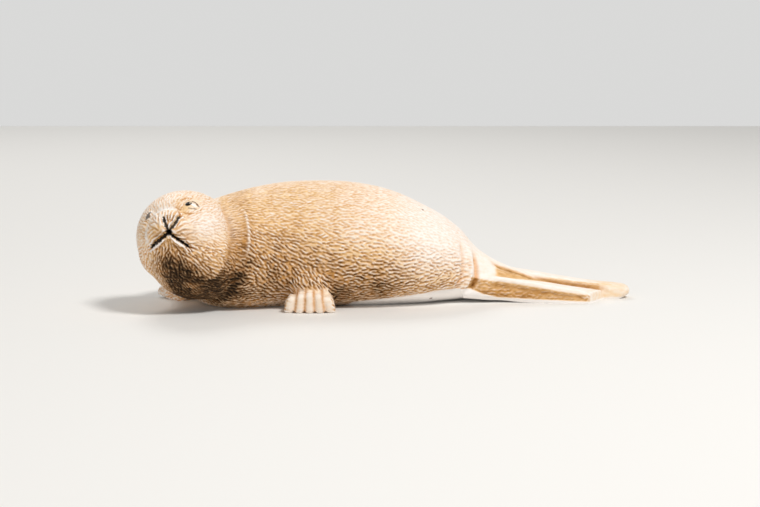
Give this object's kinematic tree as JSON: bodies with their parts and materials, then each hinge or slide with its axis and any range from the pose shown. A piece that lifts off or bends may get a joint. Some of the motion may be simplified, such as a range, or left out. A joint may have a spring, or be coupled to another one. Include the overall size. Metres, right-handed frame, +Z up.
{
  "type": "seal figurine",
  "caption": "Seal pup figurine in ivory-coloured resin, lying on its belly with its head turned to its left, hind flippers laid back side by side.",
  "frame": {"origin": "middle of the figure's bounding box in plan, on the surface that it rests on", "axes": "+X from the head towards the tips of the hind flippers, +Y towards the seal's right side, +Z up"},
  "size_m": [0.099, 0.0385, 0.0242],
  "materials": {
    "ivory": "satin"
  },
  "bodies": {
    "root": {"seal": "ivory"}
  },
  "joints": []
}
